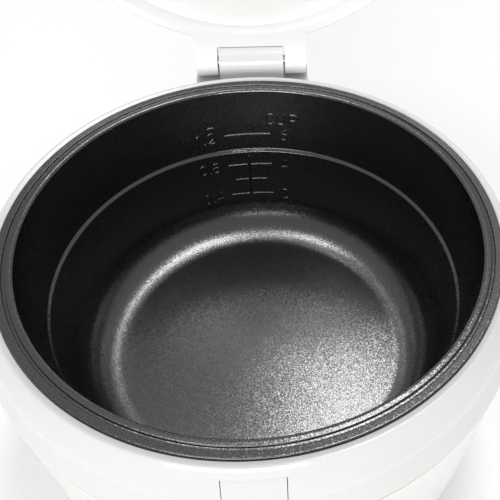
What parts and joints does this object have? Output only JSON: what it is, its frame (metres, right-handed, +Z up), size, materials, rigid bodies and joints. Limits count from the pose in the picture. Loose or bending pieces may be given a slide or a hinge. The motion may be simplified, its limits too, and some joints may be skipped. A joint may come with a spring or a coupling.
{
  "type": "rice cooker",
  "caption": "Small hinged-lid rice cooker with a removable non-stick pot, shown with its lid open and a release button on the collar.",
  "frame": {"origin": "on the floor under the centre of the inner pot, at the underside of the foot ring", "axes": "+Z up along the pot axis, -Y towards the release button at the front, +Y towards the lid hinge, +X to the right seen from the front"},
  "size_m": [0.222, 0.3095, 0.3636],
  "materials": {
    "white_shell": "gloss",
    "pot_coating": "semi-gloss",
    "liner_metal": "satin",
    "cast_aluminium": "satin",
    "sheet_aluminium": "satin",
    "steel": "satin",
    "spring_steel": "satin",
    "magnet": "matte",
    "heater_wrap": "matte",
    "fuse_case": "satin",
    "silicone": "matte",
    "rubber_foot": "matte",
    "grey_plastic": "satin",
    "dark_plastic": "matte",
    "circuit_board": "matte",
    "red_lens": "gloss",
    "amber_lens": "gloss",
    "brass_pins": "polished"
  },
  "bodies": {
    "housing": {"top_collar": "white_shell", "outer_body": "white_shell", "bottom_cover": "white_shell", "foot_ring": "rubber_foot", "base_screws": "steel", "liner": "liner_metal", "side_heater_band": "heater_wrap", "heating_plate": "cast_aluminium", "heater_element": "steel", "plate_spacers": "steel", "heat_shield": "sheet_aluminium", "thermal_fuse": "fuse_case", "sensor_bracket": "steel", "sensor_spring": "spring_steel", "lever_pin": "steel", "lever_bracket": "steel", "cook_switch": "dark_plastic", "cook_lamp": "red_lens", "warm_lamp": "amber_lens", "lamp_board": "circuit_board", "control_plate": "grey_plastic", "power_inlet": "dark_plastic", "inlet_pins": "brass_pins", "terminal_block": "dark_plastic", "hinge_housing": "white_shell", "hinge_pin": "steel", "lid_spring": "spring_steel", "release_spring": "spring_steel"},
    "pot": {"inner_pot": "pot_coating"},
    "lid": {"lid_frame": "white_shell", "lid_cover": "white_shell", "lid_screws": "steel", "vent_duct": "white_shell"},
    "inner_lid": {"inner_lid": "sheet_aluminium", "lid_gasket": "silicone", "inner_lid_knob": "grey_plastic"},
    "vent_cap": {"vent_cap": "grey_plastic"},
    "release_button": {"release_button": "white_shell"},
    "sensor": {"sensor_cup": "cast_aluminium"},
    "magnet": {"magnet_rod": "magnet"},
    "lever": {"cook_lever": "grey_plastic"}
  },
  "joints": [
    {"name": "lid_hinge", "type": "hinge", "parent": "housing", "child": "lid", "pos_m": [0, 0.1195, 0.133], "axis": [-1, 0, 0], "range_deg": [-102, 0], "stiffness_Nm_per_rad": 0.24, "springref_deg": 17.19, "deforming": ["lid_spring"]},
    {"name": "pot_lift", "type": "slide", "parent": "housing", "child": "pot", "axis": [0, 0, 1], "range_m": [0, 0.1]},
    {"name": "inner_lid_pull", "type": "slide", "parent": "lid", "child": "inner_lid", "axis": [0, -0.9781, 0.2079], "range_m": [0, 0.03]},
    {"name": "vent_cap_pull", "type": "slide", "parent": "lid", "child": "vent_cap", "axis": [0, 0.9781, -0.2079], "range_m": [0, 0.03]},
    {"name": "release_button_push", "type": "slide", "parent": "housing", "child": "release_button", "axis": [0, 1, 0], "range_m": [0, 0.002], "stiffness_N_per_m": 400, "springref_m": -0.002, "deforming": ["release_spring"]},
    {"name": "sensor_press", "type": "slide", "parent": "housing", "child": "sensor", "axis": [0, 0, 1], "range_m": [-0.003, 0], "stiffness_N_per_m": 300, "springref_m": 0.004, "deforming": ["sensor_spring"]},
    {"name": "cook_lever_tilt", "type": "hinge", "parent": "housing", "child": "lever", "pos_m": [0, -0.082, 0.019], "axis": [1, 0, 0], "range_deg": [0, 6.5]},
    {"name": "magnet_lift", "type": "slide", "parent": "housing", "child": "magnet", "axis": [0, 0, 1], "range_m": [0, 0.0095]}
  ],
  "couplings": [
    {"joint": "magnet_lift", "follows": "cook_lever_tilt", "m_per_rad": 0.08}
  ]
}
